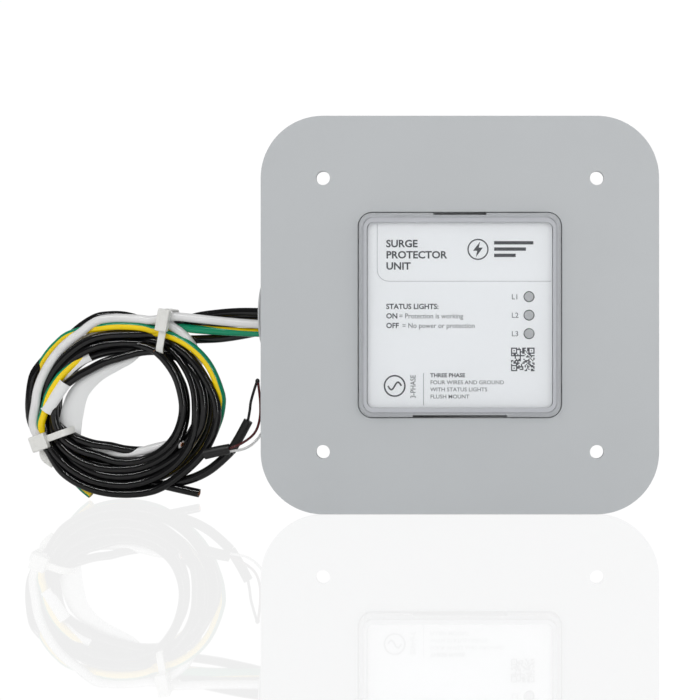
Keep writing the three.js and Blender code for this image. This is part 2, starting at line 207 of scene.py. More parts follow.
def insulation(name, base, roughness, stripe=None):
    finish = Finish(name, Roughness=roughness, IOR=1.5)
    along, around, _ = finish.split(finish.node("ShaderNodeUVMap", {"uv_map": "cordUv"}))
    ripple = finish.noise(drawn["ripple"])
    colour = finish.mix(finish.noise(drawn["cloud"]), shade(base, 0.85), shade(base, 1.15))
    if stripe:
        run = along.math("MINIMUM", along / stripe["run"], 1.0)
        centre = stripe["from"] + (stripe["to"] - stripe["from"]) * run * run
        offset = (around - centre + 0.02 * finish.noise(25, 1)).apply("FRACT")
        distance = (offset - 0.5).apply("ABSOLUTE")
        colour = finish.mix(distance > 0.5 - stripe["halfWidth"], colour, stripe["colour"])
    finish.drive(
        Base_Color=colour,
        Roughness=roughness - drawn["spread"] + 2 * drawn["spread"] * finish.noise(drawn["polish"]),
        Normal=finish.bump(ripple, 0.2, drawn["rippleDepth"]),
    )
    return finish.material


rolled = {"cloud": 300, "polish": 1200, "spread": 0.08, "grain": 1800, "grainDepth": 0.00004}


def metalFinish(name, base, roughness):
    finish = Finish(name, Metallic=1.0, Roughness=roughness)
    finish.drive(
        Base_Color=finish.mix(finish.noise(rolled["cloud"], 3), shade(base, 0.85), shade(base, 1)),
        Roughness=roughness - rolled["spread"] + 2 * rolled["spread"] * finish.noise(rolled["polish"]),
        Normal=finish.bump(finish.noise(rolled["grain"]), 0.15, rolled["grainDepth"]),
    )
    return finish.material


glazed = {"cloud": 30, "facing": 0.35, "least": 0.004, "rise": 0.42}


def clearFinish(name):
    finish = Finish(name, Roughness=0.04, IOR=1.5)
    cloud = finish.noise(glazed["cloud"], 1)
    finish.drive(Base_Color=finish.mix(cloud, (0.86, 0.89, 0.92, 1), (0.94, 0.96, 0.98, 1)))
    clear = finish.node("ShaderNodeBsdfTransparent", {}, {"Color": (0.998, 0.999, 1, 1)})
    facing = finish.node("ShaderNodeLayerWeight", {}, {"Blend": glazed["facing"]}, output="Fresnel")
    solid = Value(finish, finish.shader.outputs[0])
    finish.surface(finish.blend(glazed["least"] + glazed["rise"] * facing, clear, solid))
    return finish.material


finishes = {
    "plate_plastic": moulding("platePlastic", (0.515, 0.535, 0.55), 0.5, waves=0.00012),
    "shell_plastic": moulding("shellPlastic", (0.5, 0.515, 0.53), 0.5),
    "nipple_plastic": moulding("nipplePlastic", (0.56, 0.57, 0.58), 0.42),
    "clear_plastic": clearFinish("clearPlastic"),
    "seal_rubber": moulding("sealRubber", (0.5, 0.51, 0.53), 0.6),
    "smoked_lens": moulding("smokedLens", (0.5, 0.51, 0.52), 0.2),
    "led_lens": moulding("ledLens", (0.15, 0.7, 0.25), 0.2),
    "board_laminate": moulding("boardLaminate", (0.02, 0.12, 0.06), 0.35),
    "varistor_coating": moulding("varistorCoating", (0.03, 0.08, 0.32), 0.45, waves=0.0003),
    "cutoff_body": moulding("cutoffBody", (0.55, 0.45, 0.25), 0.5),
    "relay_plastic": moulding("relayPlastic", (0.03, 0.035, 0.04), 0.4),
    "zinc_plate": metalFinish("zincPlate", (0.6, 0.61, 0.62), 0.32),
    "copper": metalFinish("copperStrand", (0.72, 0.32, 0.16), 0.3),
    "black_insulation": insulation("blackInsulation", (0.003, 0.003, 0.0034), 0.13),
    "cable_jacket": insulation("cableJacket", (0.0045, 0.0045, 0.005), 0.26),
    "white_insulation": insulation("whiteInsulation", (0.8, 0.8, 0.8), 0.25),
    "red_insulation": insulation("redInsulation", (0.09, 0.012, 0.014), 0.25),
    "green_yellow_insulation": insulation("groundInsulation", (0.0, 0.27, 0.13), 0.24, {
        "colour": (0.98, 0.70, 0.0, 1), "from": 0.33, "to": 0.774, "run": 0.06, "halfWidth": 0.28,
    }),
    "nylon": moulding("nylonTie", (0.8, 0.8, 0.77), 0.32),
    "label_vinyl": moulding("labelVinyl", (0.82, 0.83, 0.83), 0.4),
    "shrink_tube": moulding("shrinkTube", (0.008, 0.008, 0.008), 0.45, waves=0.0003),
}
# painted light: a light-grey finish that stands in for the lit case lip seen through the clear lid
finishes["paintedLitRim"] = moulding("paintedLitRim", (0.56, 0.57, 0.6), 0.3)
print("stage: finishes")


def finishPiece(piece, slotName, body="housing", finishName=None):
    piece.data.materials.clear()
    piece.data.materials.append(finishes[finishName or slotName])
    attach(piece, body)


def newMesh(name, vertices, faces):
    mesh = bpy.data.meshes.new(name)
    mesh.from_pydata([tuple(v) for v in vertices], [], faces)
    mesh.update()
    piece = bpy.data.objects.new(name, mesh)
    bpy.context.scene.collection.objects.link(piece)
    return piece


def enterEdit():
    setMode("EDIT")
    bpy.ops.mesh.select_all(action="SELECT")


def leaveEdit():
    bpy.ops.mesh.select_all(action="SELECT")
    bpy.ops.mesh.normals_make_consistent(inside=False)
    setMode("OBJECT")


def faceOutwards(piece):
    activate(piece)
    enterEdit()
    leaveEdit()


def joinPieces(first, *others):
    activate(first)
    for other in others:
        other.select_set(True)
    bpy.ops.object.join()
    return first


def smoothByAngle(piece, degrees=35):
    activate(piece)
    bpy.ops.object.shade_smooth_by_angle(angle=radians(degrees))


def modify(piece, kind, **settings):
    activate(piece)
    modifier = piece.modifiers.new(kind.title(), kind)
    for key, value in settings.items():
        setattr(modifier, key, value)
    bpy.ops.object.modifier_apply(modifier=modifier.name)


# cords: each lead's smooth centreline, then a tube with its own uv

def smoothLine(points, step):
    points = [Vector(p) for p in points]
    padded = [2 * points[0] - points[1]] + points + [2 * points[-1] - points[-2]]
    line = []
    for before, start, end, after in zip(padded, padded[1:], padded[2:], padded[3:]):
        count = max(1, round((end - start).length / step))
        for i in range(count):
            t = i / count
            line.append(0.5 * (
                2 * start + (end - before) * t + (2 * before - 5 * start + 4 * end - after) * t ** 2
                + (3 * start - before - 3 * end + after) * t ** 3
            ))
    line.append(points[-1])
    return line


def lineLength(line):
    return sum((b - a).length for a, b in zip(line, line[1:]))


def tubeAlong(name, line, radius, sides=16):
    vertices = []
    runs = [0.0]
    towardsRoom = Vector((0, -1, 0))
    last = len(line) - 1
    for i, point in enumerate(line):
        tangent = (line[min(i + 1, last)] - line[max(i - 1, 0)]).normalized()
        front = (towardsRoom - tangent * towardsRoom.dot(tangent)).normalized()
        side = tangent.cross(front)
        if i:
            runs.append(runs[-1] + (point - line[i - 1]).length)
        for k in range(sides):
            turn = 2 * pi * k / sides
            vertices.append(point + radius * (cos(turn) * front + sin(turn) * side))
    faces = []
    uvs = []
    for i in range(last):
        for k in range(sides):
            n = (k + 1) % sides
            faces.append((i * sides + k, i * sides + n, (i + 1) * sides + n, (i + 1) * sides + k))
            for station, turn in ((i, k), (i, k + 1), (i + 1, k + 1), (i + 1, k)):
                uvs.append((runs[station], turn / sides))
    start = len(vertices)
    vertices += [line[0], line[-1]]
    for k in range(sides):
        n = (k + 1) % sides
        faces.append((start, n, k))
        uvs += [(0, 0.5)] * 3
        faces.append((start + 1, last * sides + k, last * sides + n))
        uvs += [(runs[-1], 0.5)] * 3
    piece = newMesh(name, vertices, faces)
    layer = piece.data.uv_layers.new(name="cordUv")
    for loop, uv in zip(layer.data, uvs):
        loop.uv = uv
    bpy.context.view_layer.update()
    faceOutwards(piece)
    smoothByAngle(piece, 50)
    return piece


# coil of the leads: outer ellipse, and each lead's stations round it as (degrees, inset, y) in millimetres

coil = {"x": -185.4, "z": -50.2, "radiusX": 55.3, "radiusZ": 51.3, "step": 8, "lineStep": 2.2}


def coilPoint(degrees, inset, y):
    turn = radians(degrees)
    x = coil["x"] + (coil["radiusX"] - inset) * cos(turn)
    z = coil["z"] + (coil["radiusZ"] - inset) * sin(turn)
    return Vector((x, y, z)) * mm


def stationSlopes(stations, column):
    rises = [(b[column] - a[column]) / (b[0] - a[0]) for a, b in zip(stations, stations[1:])]
    slopes = [rises[0]]
    for before, after in zip(rises, rises[1:]):
        slopes.append(2 * before * after / (before + after) if before * after > 0 else 0)
    return slopes + [rises[-1]]


def coilTurns(stations):
    insetSlopes = stationSlopes(stations, 1)
    depthSlopes = stationSlopes(stations, 2)
    points = []
    for n, (start, end) in enumerate(zip(stations, stations[1:])):
        span = end[0] - start[0]
        count = max(1, round(span / coil["step"]))
        for i in range(count):
            t = i / count
            values = []
            for column, slopes in ((1, insetSlopes), (2, depthSlopes)):
                values.append(
                    (2 * t ** 3 - 3 * t ** 2 + 1) * start[column] + (3 * t ** 2 - 2 * t ** 3) * end[column]
                    + span * ((t ** 3 - 2 * t ** 2 + t) * slopes[n] + (t ** 3 - t ** 2) * slopes[n + 1])
                )
            points.append(coilPoint(start[0] + span * t, *values))
    points.append(coilPoint(*stations[-1]))
    return points


leads = {
    "neutral": {
        "slot": "white_insulation", "diameter": 4.7, "node": "lead_neutral_outside",
        "start": [
            (-106.9, 26, -5), (-119.5, 28.7, -4.2), (-132, 31.5, -3.1), (-145, 34.2, -1.8),
            (-157, 36, -0.9),
        ],
        "stations": [
            (72, 1.4, 36.6), (85, 2.8, 36.5), (103, 2.6, 36.4), (116, 5.7, 36.4), (135.5, 7.6, 36.3),
            (154.7, 8.6, 36.3), (178, 8.4, 36.4), (194, 5.8, 36.8), (205, 6.4, 37.6), (222, 10, 42),
            (245, 11.5, 45), (270, 12.4, 47), (300, 13, 47.4), (330, 13.5, 47.2), (360, 15.4, 46.8),
            (380, 13, 46), (392, 8, 44.4), (402, 3.4, 41.6), (410, 1.2, 38.4), (423, 0.4, 38),
            (436, 3, 41.5), (450, 6.9, 42.6), (480, 9.6, 43), (540, 9.8, 43), (585, 10, 44), (630, 10, 44),
            (675, 12.2, 44), (700, 11.8, 43), (720, 11.6, 42.8), (740, 12.2, 43.2), (765, 13, 45),
            (810, 14, 46), (900, 15, 45.5), (940, 19, 44), (965, 23, 43), (982, 24.8, 40.6),
            (1000, 25.4, 39.2), (1021.5, 24.2, 39.6), (1033, 21.8, 40.6), (1041, 18.2, 40.4),
            (1044.5, 15, 38.8),
        ],
    },
    "ground": {
        "slot": "green_yellow_insulation", "diameter": 4.7, "node": "lead_ground_outside",
        "start": [
            (-106.9, 31, -9.6), (-119.5, 32.4, -9.2), (-132, 34.6, -8.6), (-145, 38.4, -7.8),
            (-155, 41, -7),
        ],
        "stations": [
            (68, 6.2, 39.6), (80, 6.6, 37.5), (90, 6.9, 37.2), (104, 6.6, 38.4), (115, 5, 40.4),
            (126.5, 3, 41.6), (142.3, 3.2, 41.8), (151.3, 3.4, 42.6), (160, 5, 44), (180, 7.5, 45.5),
            (225, 5.4, 45.4), (247, 2.8, 45), (270, 2.2, 45), (292, 2.5, 44.8), (312, 4.1, 44.6),
            (333, 4, 44.4), (345, 3.5, 43.6), (354, 2.2, 42), (364, 0.9, 40.2), (376, 1.3, 38),
            (390, 1.8, 37.4), (405, 3.4, 37.2), (418, 5.4, 38), (430, 8, 41.5), (450, 11.6, 43.6),
            (480, 14, 44), (540, 14, 45.5), (630, 11.4, 47), (665, 13.4, 47), (690, 13, 47),
            (705, 12.6, 47), (720, 12.6, 47), (740, 13, 47), (765, 13.6, 47), (800, 13.6, 46.6),
            (835, 17, 43.5), (853, 17.9, 38.8), (871, 16.9, 37.6), (890, 14.8, 37.2), (904, 12.9, 37.2),
            (914, 9.4, 37.6), (925, 7.4, 39.8), (938, 6.4, 42), (950, 5.2, 43), (958, 3.4, 42.9),
            (965, 1.2, 42.6), (971, -0.6, 42.2),
        ],
    },
    "l1": {
        "slot": "black_insulation", "diameter": 4.7, "node": "lead_l1_outside",
        "start": [
            (-106.9, 27.5, 1.5), (-119.5, 32.6, 1.6), (-132, 37, 0.8), (-145, 40, -1), (-155, 42.4, -4.5),
        ],
        "stations": [
            (66, 8, 42.6), (78, 10.6, 39.6), (92, 11.8, 38), (110, 11.4, 37.5), (135, 12.2, 37.6),
            (155, 12, 38.6), (180, 11.6, 40.4), (200, 10, 39.6), (215, 9.4, 38), (230, 9, 37.4),
            (250, 8.6, 37), (270, 8.4, 36.9), (300, 9.2, 36.9), (330, 11.5, 37.2), (345, 13.4, 37.3),
            (360, 14.6, 37.4), (390, 13.5, 38), (420, 12, 41.5), (450, 15.6, 44), (540, 13, 44),
            (600, 12.8, 38.8), (630, 13, 37.2), (665, 13.2, 37.6), (690, 11.6, 38.4), (705, 10.4, 38.2),
            (720, 10.2, 37.8), (740, 10.6, 38.2), (760, 12.5, 40.5), (782, 17, 42), (797, 21, 40),
            (816, 24.8, 37.9), (844, 26, 37.4), (867, 23.6, 37.4), (891, 18.8, 37.5), (925, 17.4, 37.8),
            (950, 20.2, 37.8), (969, 22.4, 37.2), (985, 21.4, 36.9), (1000, 20.6, 36.9),
            (1026, 20.1, 36.8), (1043, 20.4, 36.8), (1067, 21.3, 36.8), (1090, 21.5, 36.8),
            (1118, 19.4, 36.6), (1141, 16.2, 36),
        ],
    },
    "l2": {
        "slot": "black_insulation", "diameter": 4.7, "node": "lead_l2_outside",
        "start": [
            (-106.9, 32.2, -0.3), (-119.5, 35.4, -0.8), (-132, 39, -1.9), (-145, 43, -3.8),
            (-157, 45.4, -6.4),
        ],
        "stations": [
            (64, 13, 45), (78, 16, 41), (95, 16.4, 38.8), (120, 15.8, 38), (150, 15.6, 38.8),
            (180, 16.4, 41), (210, 14, 39), (245, 15.8, 37.4), (270, 17, 37), (300, 17, 37),
            (320, 17.6, 38), (340, 20, 41), (360, 21.3, 42), (390, 20.4, 42), (410, 17.6, 40),
            (425, 16.6, 39.4), (440, 17, 41), (480, 19, 44), (540, 17, 46), (630, 18, 46),
            (720, 14.6, 46.6), (810, 12, 47), (870, 13.6, 45.6), (900, 15.4, 44.8), (915, 17.6, 43.4),
            (930, 21, 40.8), (943, 24.5, 38), (960, 27.4, 37.4), (977, 29, 37.4), (992, 27.8, 38),
            (1004, 26.2, 39.6), (1018, 23.5, 42.4), (1035, 19.5, 44.6), (1055, 14.6, 45.6),
            (1080, 12, 46.5),
        ],
    },
    "l3": {
        "slot": "black_insulation", "diameter": 4.7, "node": "lead_l3_outside",
        "start": [
            (-106.9, 36.4, -8.4), (-119.5, 37.4, -11), (-132, 39.6, -12.8), (-144, 43, -13.4),
            (-154, 45, -14),
        ],
        "stations": [
            (62, 14, 45.4), (78, 19, 42.5), (95, 20.6, 40.8), (118, 20, 41), (150, 17.6, 42.5),
            (180, 17, 44), (205, 18.4, 43), (225, 21, 41), (250, 21.6, 38.6), (270, 21.4, 37.6),
            (290, 20, 39), (310, 17, 41.6), (335, 14.6, 42.6), (360, 12.5, 43), (390, 10.6, 44),
            (420, 7, 45), (440, 3.4, 43.4), (452, 1.2, 41.8), (466, 0.4, 41.4), (476, 1.8, 43.4),
            (487, 3, 46), (500, 3.2, 46), (510, 2.6, 43.4), (518, 2.2, 41.2), (530, 3.1, 40.9),
            (538, 3.4, 40.8), (550, 3.7, 40.6), (560, 5, 40), (573, 7, 38.8), (590, 4.6, 38),
            (607, 3.9, 37.6), (630, 3.6, 37.3), (652, 2.7, 37.1), (672, 3.6, 37), (693, 2.8, 37),
            (711, 2.5, 37), (725, 3.9, 37.1), (740, 6.5, 37.4), (768, 8.4, 38.6), (784, 9.4, 42),
            (800, 10, 45), (840, 10, 47), (900, 8, 48), (935, 9, 47.4), (960, 11.4, 46), (976, 12.4, 44.4),
        ],
        "end": [
            (-176, 42.6, -90.9), (-168, 40.6, -92.6), (-160, 39, -94.2), (-151.5, 38.3, -96),
            (-143, 38, -97.8),
        ],
    },
    "alarm": {
        "slot": "cable_jacket", "diameter": 5.1, "node": "alarm_cable_outside",
        "start": [
            (-106.9, 37.4, -2.8), (-119.5, 41, -4), (-132, 44, -4.5), (-145, 46.6, -5), (-157, 48.5, -5.5),
        ],
        "stations": [
            (68, 7, 49.4), (90, 8, 50), (180, 10, 51), (270, 8, 51), (360, 9, 50), (450, 14, 50),
            (540, 15, 50), (630, 14, 48), (720, 13, 48), (810, 14, 48), (900, 10, 48), (950, 7, 46.6),
            (985, 4.4, 44.4), (1003, 4.2, 42.8),
        ],
        "end": [
            (-157, 41, -92.4), (-150, 40, -90.8), (-144, 39, -88.6), (-138, 38.4, -85.4),
            (-133, 38.1, -81.6), (-128.6, 38, -77.6), (-125.8, 38, -74.8),
        ],
    },
}

cords = {}
for name, lead in leads.items():
    start = [Vector(p) * mm for p in lead["start"]]
    end = [Vector(p) * mm for p in lead.get("end", ())]
    line = smoothLine(start + coilTurns(lead["stations"]) + end, coil["lineStep"] * mm)
    piece = tubeAlong(f"cord_{name}", line, lead["diameter"] / 2 * mm)
    finishPiece(piece, lead["slot"])
    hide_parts(lead["node"])
    cords[name] = (piece, line)
    print(f"stage: cord {name}, {lineLength(line):.3f} m")


# stranded copper core at each end that shows

strand = {"radius": 0.26, "proud": 0.35, "rings": [(1, 0.0), (6, 0.54), (12, 1.06)]}


def strandedEnd(name, line):
    tip = line[-1]
    outwards = (line[-1] - line[-3]).normalized()
    turn = Vector((0, 0, 1)).rotation_difference(outwards).to_matrix().to_4x4()
    strands = []
    for count, ringRadius in strand["rings"]:
        for i in range(count):
            angle = 2 * pi * i / count + ringRadius
            deselectAll()
            bpy.ops.mesh.primitive_cylinder_add(
                vertices=8, radius=strand["radius"] * mm, depth=2 * strand["proud"] * mm,
                location=(ringRadius * mm * cos(angle), ringRadius * mm * sin(angle), 0),
            )
            bpy.ops.object.transform_apply()
            strands.append(bpy.context.object)
    piece = joinPieces(*strands)
    piece.name = name
    piece.data.transform(Matrix.Translation(tip) @ turn)
    smoothByAngle(piece)
    return piece


coreEnds = {}
for name in ("neutral", "l1", "l3"):
    piece, line = cords[name]
    core = strandedEnd(f"core_{name}", line)
    finishPiece(core, leads[name]["slot"], finishName="copper")
    coreEnds[name] = [core]
print("stage: copper ends")


# outlines in x and z, pushed between two y places, all in millimetres

def pushOut(distance):
    enterEdit()
    bpy.ops.mesh.extrude_region_move(TRANSFORM_OT_translate={"value": (0, distance * mm, 0)})
    leaveEdit()


def flatShape(name, outline, front, back):
    deselectAll()
    bpy.ops.mesh.primitive_circle_add(vertices=len(outline), fill_type="NGON")
    piece = newest(name)
    for vertex, (x, z) in zip(piece.data.vertices, outline):
        vertex.co = Vector((x, back, z)) * mm
    pushOut(front - back)
    return piece


corners = ((1, 1), (-1, 1), (-1, -1), (1, -1))


def roundedOutline(width, height, radius, steps=12):
    outline = []
    for quarter, (sx, sz) in enumerate(corners):
        for i in range(steps + 1):
            turn = pi / 2 * (quarter + i / steps)
            outline.append((
                sx * (width / 2 - radius) + radius * cos(turn),
                sz * (height / 2 - radius) + radius * sin(turn),
            ))
    return outline


def circle(x, z, radius, steps=32):
    return [(x + radius * cos(2 * pi * i / steps), z + radius * sin(2 * pi * i / steps))
            for i in range(steps)]


def combine(piece, tool, operation):
    modify(piece, "BOOLEAN", object=tool, operation=operation, solver="EXACT")
    bpy.data.objects.remove(tool)


def cutOut(piece, outline, front=-6, back=6):
    combine(piece, flatShape("cutter", outline, front, back), "DIFFERENCE")


def bevelEdges(piece, width, segments=2, degrees=40):
    smoothByAngle(piece, degrees)
    modify(
        piece, "BEVEL", width=width * mm, segments=segments, limit_method="ANGLE",
        angle_limit=radians(degrees), harden_normals=True, use_clamp_overlap=True,
    )


def refinedCopy(nodeName, width, segments=2, body="housing", finishName=None, slotName=None):
    source = nodes[nodeName]
    piece = source.copy()
    piece.data = source.data.copy()
    piece.name = f"{nodeName}_refined"
    piece.hide_render = False
    bpy.context.scene.collection.objects.link(piece)
    activate(piece)
    enterEdit()
    bpy.ops.mesh.remove_doubles(threshold=0.000005)
    bpy.ops.mesh.dissolve_limited(angle_limit=radians(1))
    setMode("OBJECT")
    bevelEdges(piece, width, segments)
    finishPiece(piece, slotName, body, finishName)
    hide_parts(nodeName)


# a closed outline of (x, radius) turned about the nipple's axis

axis = {"y": 32.5, "steps": 64}


def turnedPiece(name, outline):
    deselectAll()
    bpy.ops.mesh.primitive_circle_add(vertices=len(outline))
    piece = newest(name)
    for vertex, (x, radius) in zip(piece.data.vertices, outline):
        vertex.co = Vector((x, axis["y"], radius)) * mm
    enterEdit()
    bpy.ops.mesh.spin(
        steps=axis["steps"], angle=2 * pi, center=(0, axis["y"] * mm, 0), axis=(1, 0, 0),
    )
    bpy.ops.mesh.select_all(action="SELECT")
    bpy.ops.mesh.remove_doubles(threshold=0.000005)
    leaveEdit()
    smoothByAngle(piece)
    return piece


# flush plate: rounded slab with a window, four screw holes and four bosses for the case

plate = {
    "side": 203.2, "thick": 3, "corner": 31.75, "hole": 3.55, "holeAt": 69.85, "windowWidth": 104.2,
    "windowHeight": 105.2, "windowCorner": 7.4, "bossX": 56.5, "bossZ": 38, "boss": 4.5, "bossFrom": -0.5,
    "bossEnd": 9, "pilot": 1.8, "pilotFrom": 0.5, "pilotEnd": 12, "edge": 0.55,
}
plateBody = flatShape(
    "plate_moulding", roundedOutline(plate["side"], plate["side"], plate["corner"], 24), -plate["thick"], 0,
)
for sx, sz in corners:
    boss = circle(sx * plate["bossX"], sz * plate["bossZ"], plate["boss"])
    combine(plateBody, flatShape("boss", boss, plate["bossFrom"], plate["bossEnd"]), "UNION")
window = roundedOutline(plate["windowWidth"], plate["windowHeight"], plate["windowCorner"])
cutOut(plateBody, window)
for sx, sz in corners:
    cutOut(plateBody, circle(sx * plate["holeAt"], sz * plate["holeAt"], plate["hole"], 40))
    pilot = circle(sx * plate["bossX"], sz * plate["bossZ"], plate["pilot"], 16)
    cutOut(plateBody, pilot, plate["pilotFrom"], plate["pilotEnd"])
bevelEdges(plateBody, plate["edge"], 3)
finishPiece(plateBody, "plate_plastic")
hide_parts("flush_plate")
print("stage: plate")


# case, lid and what they hold

refinedCopy("case_base", 0.5, slotName="shell_plastic")
refinedCopy("lid_gasket", 0.15, slotName="seal_rubber")
refinedCopy("inner_cover", 0.3, slotName="shell_plastic")
refinedCopy("clear_lid", 0.45, 3, body="lid", slotName="clear_plastic")
# a thin light-grey ring in front of the lid's rim: painted light, in place of the lit lip and gasket seen
# through the clear lid
edgeRing = {
    "outer": (97.6, 98.6), "inner": (94.2, 94.0), "corner": 5, "innerCorner": 3.4, "front": -6.8,
    "back": -6.5,
}
outerEdge = roundedOutline(*edgeRing["outer"], edgeRing["corner"])
innerEdge = roundedOutline(*edgeRing["inner"], edgeRing["innerCorner"])
lidEdge = flatShape("lid_edge", outerEdge, edgeRing["front"], edgeRing["back"])
cutOut(lidEdge, innerEdge, edgeRing["front"] - 1.2, edgeRing["back"] + 2.5)
bevelEdges(lidEdge, 0.05, 1)
finishPiece(lidEdge, "clear_plastic", "lid", "paintedLitRim")
for phase in ("l1", "l2", "l3"):
    refinedCopy(f"light_pipe_{phase}", 0.5, 3, slotName="smoked_lens")
for number in (1, 2, 3, 4):
    refinedCopy(f"case_screw_{number}", 0.2, slotName="zinc_plate")
print("stage: case and lid")


# nipple with its thread, hex flange, locknut and end bushing

nipple = {
    "crest": 16.7, "root": 15.9, "bore": 13.3, "outerEnd": -104.6, "innerEnd": -43.4, "pitch": 2.2,
    "flangeFrom": -59, "flangeTo": -53.9, "flangeRadius": 24, "flangeBore": 16, "cut": (-60, -53),
}


def threadOutline():
    crest = nipple["crest"]
    root = nipple["root"]
    pitch = nipple["pitch"]
    bore = nipple["bore"]
    outerEnd = nipple["outerEnd"]
    outline = [(nipple["innerEnd"], bore), (outerEnd, bore), (outerEnd, root)]
    x = outerEnd + 0.6
    while x + pitch < nipple["innerEnd"]:
        if nipple["flangeFrom"] - pitch < x < nipple["flangeTo"]:
            outline += [(x, crest), (x + pitch, crest)]
        else:
            steps = ((0.1, root), (0.4, crest), (0.6, crest), (0.9, root))
            outline += [(x + share * pitch, radius) for share, radius in steps]
        x += pitch
    outline.append((nipple["innerEnd"], root))
    return outline


nippleBody = turnedPiece("nipple_tube", threadOutline())
deselectAll()
bpy.ops.mesh.primitive_cylinder_add(
    vertices=6, radius=nipple["flangeRadius"] * mm,
    depth=(nipple["flangeTo"] - nipple["flangeFrom"]) * mm, rotation=(0, pi / 2, 0),
    location=((nipple["flangeTo"] + nipple["flangeFrom"]) / 2 * mm, axis["y"] * mm, 0),
)
bpy.ops.object.transform_apply()
flange = bpy.context.object
hole = nipple["flangeBore"]
low, high = nipple["cut"]
combine(flange, turnedPiece("bore", [(low, 0.01), (low, hole), (high, hole), (high, 0.01)]), "DIFFERENCE")
bevelEdges(flange, 0.6, 2, 25)
joinPieces(nippleBody, flange)
finishPiece(nippleBody, "nipple_plastic")
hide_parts("conduit_nipple")

bushing = {
    "mouth": -106.5, "back": -96.5, "radius": 18.6, "throat": 12.6, "inner": 17, "lip": 1.6, "round": 1,
}


def bushingOutline():
    mouth = bushing["mouth"]
    back = bushing["back"]
    radius = bushing["radius"]
    throat = bushing["throat"]
    outline = [(mouth + bushing["lip"], throat), (mouth + 0.6, throat), (mouth + 0.18, throat + 0.18)]
    outline.append((mouth, throat + 0.6))
    for i in range(7):
        turn = pi / 2 * i / 6
        outline.append((
            mouth + bushing["round"] * (1 - sin(turn)),
            radius - bushing["round"] * (1 - cos(turn)),
        ))
    outline += [(mouth + 3.2, radius), (mouth + 3.5, radius - 0.4), (mouth + 4.4, radius - 0.4)]
    outline += [(mouth + 4.7, radius), (back - 0.3, radius), (back, radius - 0.3)]
    return outline + [(back, bushing["inner"]), (mouth + bushing["lip"], bushing["inner"])]


bushingBody = turnedPiece("bushing_ring", bushingOutline())
finishPiece(bushingBody, "nipple_plastic", "bushing")
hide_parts("end_bushing")
refinedCopy("panel_locknut", 0.3, body="locknut", slotName="zinc_plate")
refinedCopy("hub_seal", 0.3, slotName="seal_rubber")
print("stage: nipple")


# card: white film with printed lines, words and marks, each a thin layer on its front

card = {
    "width": 94.1, "height": 94.4, "corner": 3.3, "front": -3.9, "back": -3.5, "ink": 0.03, "sunk": 0.02,
    "hole": 2.8, "capShare": 0.72,
}
lights = {"x": 35.2, "places": [9.3, -0.1, -9.5], "nameX": 26.2, "nameDrop": 1.3, "nameCap": 2.7}
cardBody = flatShape(
    "card_film", roundedOutline(card["width"], card["height"], card["corner"]),
    card["front"], card["back"],
)
for z in lights["places"]:
    cutOut(cardBody, circle(lights["x"], z, card["hole"], 40), back=0)
bevelEdges(cardBody, 0.08, 2)


def inkFinish(name, colour):
    finish = Finish(name, Roughness=0.5)
    finish.drive(Base_Color=finish.mix(finish.noise(500), shade(colour, 0.9), shade(colour, 1.1)))
    return finish.material


film = {"cloud": 30, "fibre": 2200, "smooth": 0.36, "spread": 0.12, "depth": 0.00002}


def cardFinish():
    finish = Finish("cardFilm", Roughness=0.42)
    cloud = finish.noise(film["cloud"])
    fibre = finish.noise(film["fibre"])
    finish.drive(
        Base_Color=finish.mix(cloud, (0.925, 0.94, 0.955, 1), (0.945, 0.96, 0.975, 1)),
        Roughness=film["smooth"] + film["spread"] * fibre,
        Normal=finish.bump(fibre, 0.1, film["depth"]),
    )
    return finish.material


finishes["card_print"] = cardFinish()
inks = {"darkInk": (0.05, 0.053, 0.062), "greyInk": (0.12, 0.125, 0.135), "paleInk": (0.28, 0.29, 0.31)}
for ink, colour in inks.items():
    finishes[ink] = inkFinish(ink, colour)
finishPiece(cardBody, "card_print")
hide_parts("legend_card")
inkLayers = {ink: [] for ink in inks}


def printShape(ink, outline):
    front = card["front"] - card["ink"]
    inkLayers[ink].append(flatShape("ink", outline, front, card["front"] + card["sunk"]))


def printStrip(ink, points, width):
    points = [Vector(p) for p in points]
    closed = (points[0] - points[-1]).length < 0.001
    if closed:
        points.pop()
    vertices = []
    last = len(points) - 1
    for i, point in enumerate(points):
        before = points[i - 1] if closed or i else point
        after = points[(i + 1) % len(points)] if closed or i < last else point
        way = (after - before).normalized()
        side = Vector((-way.y, way.x)) * width / 2
        for x, z in (point + side, point - side):
            vertices.append(Vector((x, card["front"] + card["sunk"], z)) * mm)
    spans = len(points) if closed else last
    count = len(vertices)
    faces = [(2 * i, 2 * i + 1, (2 * i + 3) % count, (2 * i + 2) % count) for i in range(spans)]
    piece = newMesh("ink", vertices, faces)
    activate(piece)
    pushOut(-card["ink"] - card["sunk"])
    inkLayers[ink].append(piece)


def printWords(ink, words, x, z, capHeight, bold=0.0, turned=False, align="LEFT", stretch=1.0):
    deselectAll()
    bpy.ops.object.text_add()
    text = bpy.context.object
    text.data.body = words
    text.data.size = capHeight / card["capShare"] * mm
    text.data.offset = bold * mm
    text.data.align_x = align
    text.data.extrude = card["ink"] * mm
    text.data.resolution_u = 3
    text.scale = (stretch, 1, 1)
    text.rotation_euler = (pi / 2, -pi / 2 if turned else 0, 0)
    text.location = (x * mm, card["front"] * mm, z * mm)
    bpy.ops.object.convert(target="MESH")
    bpy.ops.object.transform_apply()
    inkLayers[ink].append(bpy.context.object)


header = {"left": -42.1, "line": 17.2, "radius": 5.85, "top": 46.4, "right": 46.4, "width": 0.22}
outline = [(header["left"], header["top"])]
for i in range(9):
    turn = pi + pi / 2 * i / 8
    outline.append((
        header["left"] + header["radius"] * (1 + cos(turn)),
        header["line"] + header["radius"] * (1 + sin(turn)),
    ))
outline.append((header["right"], header["line"]))
printStrip("paleInk", outline, header["width"])

